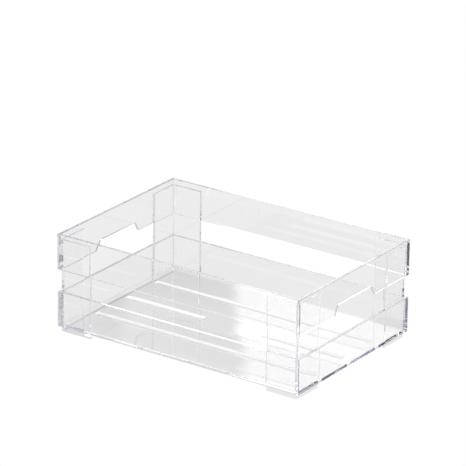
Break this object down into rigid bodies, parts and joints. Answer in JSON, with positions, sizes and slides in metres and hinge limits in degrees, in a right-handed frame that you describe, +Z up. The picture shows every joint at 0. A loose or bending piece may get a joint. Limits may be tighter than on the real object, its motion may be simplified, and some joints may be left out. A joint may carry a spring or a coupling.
{
  "type": "stackable storage box",
  "caption": "Open, clear plastic crate with slatted sides, hand-holds in both ends, a slotted floor and corner posts whose feet seat on the posts of a crate below.",
  "frame": {"origin": "centre of the footprint, on the plane of the four foot soles", "axes": "+X along the long sides, towards the right end; +Y towards the back long side; +Z up, out of the open top"},
  "size_m": [0.31, 0.21, 0.112],
  "materials": {
    "clear_plastic": "clear, polished, very faintly blue"
  },
  "bodies": {
    "root": {"corner_post_back_left": "clear_plastic", "corner_post_back_right": "clear_plastic", "corner_post_front_left": "clear_plastic", "corner_post_front_right": "clear_plastic", "upper_slat_front": "clear_plastic", "upper_slat_back": "clear_plastic", "upper_slat_left": "clear_plastic", "upper_slat_right": "clear_plastic", "lower_slat_front": "clear_plastic", "lower_slat_back": "clear_plastic", "lower_slat_left": "clear_plastic", "lower_slat_right": "clear_plastic", "floor_panel": "clear_plastic"}
  },
  "joints": []
}
